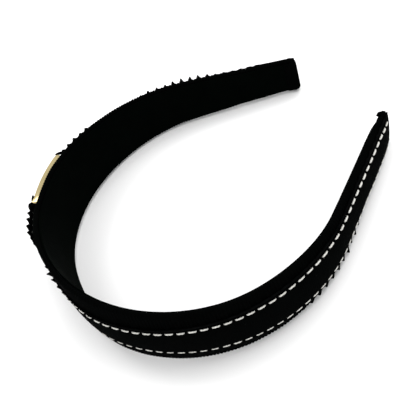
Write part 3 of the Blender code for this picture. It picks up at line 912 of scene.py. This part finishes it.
def make_bow():
    """Flat bow of the same ribbon, with its picots and its stitches."""
    bow = Bow()
    at = bow.at[:, None]
    pitch = bow.length / round(bow.length / RIBBON_RIB_PITCH)
    share = crowded(27)[None]
    v = RIBBON_HALF_WIDTH * share
    ribs = RIBBON_RIB_HEIGHT * (rib_shape(np.pi * at / pitch) - RIB_MEAN)
    ribs = ribs * (1 - np.abs(share) ** 12)
    top = RIBBON_HALF_THICKNESS + ribs
    under = -RIBBON_HALF_THICKNESS - 0.5 * ribs[:, ::2]
    edge = RIBBON_HALF_WIDTH + 0.14 + 0 * at
    height = np.hstack([top, 0 * at, under[:, ::-1], 0 * at])
    across = np.hstack([v + 0 * at, edge, v[:, ::2][:, ::-1] + 0 * at, -edge])
    uv = np.stack(np.broadcast_arrays(at, across), -1)
    ribbon = swept("bow_loops", bow.place(at, height, across), RIBBON_CLOTH, uv, path_closed=True)
    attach(ribbon, "root")
    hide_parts("bow_ribbon")

    count = int(round(bow.length / BOW_PITCH))
    centres = (np.arange(count) + 0.5) * bow.length / count
    offsets = bow.look_up(centres, bow.path[:, 1])
    places = bow.look_up(centres, bow.path[:, 0])
    beside = np.abs(places - BOW_CENTRE) > PLATE_HALF_LENGTH
    for label, side in (("upper", 1), ("lower", -1)):
        tubes = []
        for centre in centres[(offsets > BOW_MIDDLE + UPPER_LAYER) & beside]:
            tubes += stitch_tubes(centre, side, lambda s, v: BOW_STITCH_SURFACE + 0 * s, bow.place)
        row = many_tubes("bow_" + label + "_stitch_row", tubes, WHITE_THREAD)
        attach(row, "root")
        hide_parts("bow_" + label + "_stitches")
        reach = np.where(beside, PICOT_REACH, PICOT_WAIST_REACH)
        reach = reach * (1 + RANDOM.uniform(-0.12, 0.12, count))
        lift = np.where(beside, 0.4, 0.0) * (1 + RANDOM.uniform(-0.3, 0.3, count))
        lean = 0.2 + RANDOM.uniform(-0.2, 0.2, count)
        steps = np.arange(count * PICOT_STEPS) * bow.length / (count * PICOT_STEPS)
        along, height, v = picot_rings(steps, centres, reach, lift, lean)
        edging = swept("bow_" + label + "_picots", bow.place(along, height, side * v), PICOT_YARN,
                       path_closed=True)
        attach(edging, "root")


# Where each bent picot starts and where its tip lies, in band coordinates.
BENT_PICOTS = (((71.0, 5.9, 8.6), (68.1, 7.6, 10.2)), ((42.3, 6.5, 8.1), (46.1, 7.3, 10.7)))
BENT_RADIUS = 0.75
BENT_ARCH = 0.5


def make_bent_picots():
    """The four picots beside the clamp's corners, bent over its ends; each is a tapering loop."""
    tubes = []
    t = np.linspace(0, 1, 12)[:, None]
    radius = BENT_RADIUS * (1 - 0.5 * t[:, 0] ** 2)
    for root, tip in BENT_PICOTS:
        for side in (1, -1):
            path = np.array(root) * (1 - t) + np.array(tip) * t
            path[:, 1:2] += BENT_ARCH * np.sin(np.pi * t)
            rings = tube_rings(path, radius, 10, (0.0, 0.0, 1.0))
            tubes.append(place(rings[..., 0], rings[..., 1], side * rings[..., 2]))
    picots = many_tubes("bent_picots", tubes, PICOT_YARN)
    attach(picots, "root")


def rounded(corners, radius, steps):
    """Corner points replaced with arcs; a corner is (offset, across, rounded or not)."""
    points = []
    count = len(corners)
    for i, (o, v, soft) in enumerate(corners):
        here = np.array([o, v])
        if not soft:
            points.append(here)
            continue
        before = np.array(corners[i - 1][:2]) - here
        after = np.array(corners[(i + 1) % count][:2]) - here
        first = here + before / np.linalg.norm(before) * radius
        last = here + after / np.linalg.norm(after) * radius
        for t in np.linspace(0, 1, steps):
            points.append((1 - t) ** 2 * first + 2 * t * (1 - t) * here + t ** 2 * last)
    return np.array(points)


PLATE_LENGTH = 2 * PLATE_HALF_LENGTH
PLATE_LENGTHENING = 1.09
PLATE_SHIFT = 0.3
PLATE_CROWN = 0.25
PLATE_CORNER = 0.24
PLATE_EASE = 0.5
# Over the lip the crown-side end flares up and gets narrower; the other end is rounded down.
PLATE_LIP = 3.6
PLATE_FLARE = 1.1
PLATE_NARROWING = 0.45
PLATE_ROUNDING = 2.6
PLATE_FALL = 0.8
PLATE_SLOPE = 0.8


def plate_outline():
    """Cross-section of the clamp as (offset, across), with rounded corners."""
    crown = PLATE_TOP + PLATE_CROWN
    leg = PLATE_HALF_WIDTH - PLATE_LEG
    half = [(crown, 0.0, False), (crown - 0.02, 5.0, False), (crown - 0.05, PLATE_HALF_WIDTH, True),
            (PLATE_BOTTOM, PLATE_HALF_WIDTH, True), (PLATE_BOTTOM, leg, True),
            (PLATE_UNDERSIDE, leg, False)]
    other = [(o, -v, soft) for o, v, soft in half[:0:-1]]
    return rounded(half + other, PLATE_CORNER, 5)


def make_plate():
    """Metal clamp: a gently domed top and two short legs beside the bow's waist."""
    first = np.array([0, 0.04, 0.14, 0.3, 0.5])
    s = np.concatenate([first, np.linspace(0.8, PLATE_LENGTH - 0.8, 40),
                        PLATE_LENGTH - first[::-1]])
    near_end = np.minimum(np.minimum(s, PLATE_LENGTH - s), PLATE_EASE)
    ease = PLATE_EASE - np.sqrt(np.maximum(PLATE_EASE ** 2 - (PLATE_EASE - near_end) ** 2, 0))
    outline = plate_outline()
    top = outline[:, 0] > (PLATE_TOP + PLATE_UNDERSIDE) / 2
    rings = []
    for at, inset in zip(s, ease):
        ring = outline.copy()
        ring[:, 0] -= inset * top
        lip = max(0.0, 1 - at / PLATE_LIP)
        fall = max(0.0, 1 - (PLATE_LENGTH - at) / PLATE_ROUNDING)
        rise = PLATE_FLARE * lip ** 1.4 - PLATE_FALL * fall ** 3 + PLATE_SLOPE * at / PLATE_LENGTH
        ring[:, 0] += rise * top
        outermost = np.abs(ring[:, 1]) > PLATE_HALF_WIDTH - 0.3
        ring[:, 1] -= np.sign(ring[:, 1]) * inset * outermost
        legs = np.abs(ring[:, 1]) > PLATE_HALF_WIDTH - 1
        ring[:, 1] -= np.sign(ring[:, 1]) * PLATE_NARROWING * lip ** 1.5 * legs
        along = BOW_CENTRE - PLATE_HALF_LENGTH - PLATE_SHIFT + at * PLATE_LENGTHENING
        rings.append(place(along, ring[:, 0], ring[:, 1]))
    plate = swept("gold_clamp", np.array(rings), GOLD, sharp=50)
    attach(plate, "root")
    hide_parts("clamp_plate")


# ---------------------------------------------------------------- end tabs
TAB_LENGTH = 6.0
TAB_CORNER = 2.7
TAB_OVERLAP = 3.4
TAB_UNDER = 0.5
TAB_RISE = 1.05
TAB_DOME = 0.35
LIP_MIDDLE = 0.95
LIP_WIDTH = 0.8
TAB_NARROWING = 0.09
NARROWING_DEPTH = 2.4
FLARE_MIDDLE = -1.0
FLARE_REACH = 6.5


def make_tab(label, side, curl, extra, flare):
    """Ribbed cloth folded over one end of the band; its inner edge curls inwards.

    extra is added to the band's half width at the end, and flare is the share by which the tab
    widens near its fold.
    """
    half = END_HALF_WIDTH + extra
    v = half * crowded(41)[None]
    over = np.maximum(np.abs(v) - (half - TAB_CORNER), 0)
    pull = TAB_CORNER - np.sqrt(TAB_CORNER ** 2 - np.minimum(over, TAB_CORNER) ** 2)
    inner = LINING_INNER - TAB_UNDER
    crown = face_offset(HALF_LENGTH, v) + TAB_RISE
    dome = TAB_DOME * curl

    # Outer path of the fold as (distance past the band's end, offset), from the inner edge.
    rows_s, rows_o = [], []
    for t in np.linspace(0, 1, 40):
        rows_s.append(-TAB_LENGTH + t * (TAB_LENGTH + 0.1) - pull * t)
        lip = curl * np.exp(-((t - LIP_MIDDLE) * TAB_LENGTH / LIP_WIDTH) ** 2)
        rows_o.append(inner + 0.4 * max(0, 1 - t / 0.3) - lip + 0.05 * np.cos(t * 40) + 0 * v)
    # Round the inner corner, over the end face and round the outer corner.
    for turn in np.linspace(0, np.pi / 2, 6)[1:]:
        rows_s.append(0.1 + (0.45 + dome) * np.sin(turn) - pull)
        rows_o.append(inner - curl * np.cos(turn) + 0.7 * (1 - np.cos(turn)) + 0 * v)
    for t in np.linspace(0, 1, 12)[1:-1]:
        rows_s.append(0.55 + 0.04 * np.sin(t * 25) + dome * (1 - 3.2 * t ** 2) - pull)
        rows_o.append(inner + 0.7 + t * (crown - 0.5 - inner - 0.7))
    for turn in np.linspace(0, np.pi / 2, 6):
        rows_s.append(0.05 + 0.5 * np.cos(turn) - dome * (2.2 + 0.6 * np.sin(turn)) - pull)
        rows_o.append(crown - 0.5 + (0.5 - 0.2 * dome) * np.sin(turn))
    # Back over the outer face to the outer edge.
    for t in (0.25, 0.5, 0.75, 1.0):
        rows_s.append(-0.4 - 2.8 * dome * (1 - t) - (TAB_OVERLAP - 0.4) * t - pull * (1 - t))
        rows_o.append(crown - 0.02 * np.cos(t * 9) - 0.2 * dome * (1 - t))
    # The cloth's inner side, back to the start.
    for distance, offset in ((-TAB_OVERLAP - 0.1, crown - 0.25), (-TAB_OVERLAP + 0.4, crown - 0.42),
                             (0.2 - pull, crown - 0.45), (0.25 - pull, inner + 0.6),
                             (-TAB_LENGTH, inner + 0.5)):
        rows_s.append(distance)
        rows_o.append(offset)
    ring_s = np.concatenate([r + 0 * v for r in rows_s])
    ring_o = np.concatenate([r + 0 * v for r in rows_o])
    away = np.clip(np.abs(ring_o + EDGE_RADIUS) / NARROWING_DEPTH, 0, 1)
    wider = local(ring_s, (flare, FLARE_MIDDLE, FLARE_REACH))
    ring_v = np.repeat(v, len(rows_s), 0) * (1 - TAB_NARROWING * away ** 2 + wider)
    s = side * (HALF_LENGTH + ring_s)
    points = place(s.T, ring_o.T, ring_v.T)
    length = np.cumsum(np.hypot(np.diff(ring_s, axis=0, prepend=ring_s[:1]),
                                np.diff(ring_o, axis=0, prepend=ring_o[:1])), axis=0)
    uv = np.stack([length.T, ring_v.T], -1)
    tab = swept(label + "_end_wrap", points, GROSGRAIN, uv)
    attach(tab, "root")
    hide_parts(label + "_end_tab")


# ---------------------------------------------------------------- floor and light
FLOOR_HALF_SIZE = 3.0
SKY_STRENGTH = 1.22
# Name, place and size in metres, and power in watts.
LIGHTS = (("key_light", (0.55, 0.05, 1.15), 1.0, 8.5),
          ("glint_light", (-0.2, 0.64, 1.0), 0.40, 2.6))


def make_stage():
    """Plain pale floor, soft lights aimed at the object, and an even sky."""
    material, shader, node, link = new_material("pale_floor")
    grain = noise(node, link, 6.0, 2.0)
    link(ramp(node, link, grain, (0.86, 0.86, 0.86), (0.88, 0.88, 0.88)),
         shader.inputs["Base Color"])
    shader.inputs["Roughness"].default_value = 0.9
    mesh = bpy.data.meshes.new("floor")
    reach = FLOOR_HALF_SIZE
    mesh.from_pydata([(-reach, -reach, 0), (reach, -reach, 0), (reach, reach, 0),
                      (-reach, reach, 0)], [], [(0, 1, 2, 3)])
    mesh.materials.append(material)
    floor = bpy.data.objects.new("floor", mesh)
    bpy.context.scene.collection.objects.link(floor)

    for name, spot, size, power in LIGHTS:
        data = bpy.data.lights.new(name, "AREA")
        data.shape = "DISK"
        data.size = size
        data.energy = power
        light = bpy.data.objects.new(name, data)
        light.location = spot
        light.rotation_euler = Vector(spot).to_track_quat("Z", "Y").to_euler()
        bpy.context.scene.collection.objects.link(light)

    world = bpy.data.worlds.new("even_sky")
    world.use_nodes = True
    background = world.node_tree.nodes["Background"]
    background.inputs["Color"].default_value = (1.0, 1.0, 1.0, 1.0)
    background.inputs["Strength"].default_value = SKY_STRENGTH
    bpy.context.scene.world = world
    bpy.context.scene.view_settings.view_transform = "Standard"


def main():
    """Build the camera, every piece and the stage; the order keeps the random draws the same."""
    add_camera()
    make_cover()
    make_lining()
    make_core()
    make_sponge()
    make_ribbon()
    for label, side in (("upper", 1), ("lower", -1)):
        make_stitches(label, side)
        make_picots(label, side)
    make_bow()
    make_bent_picots()
    make_plate()
    make_tab("left", 1, curl=0.15, extra=-0.05, flare=0.015)
    make_tab("right", -1, curl=1.9, extra=0.1, flare=0.04)
    for slot in frame["nodes"]["bow_glue_pad"].material_slots:
        slot.material = GLUE
    make_stage()


main()
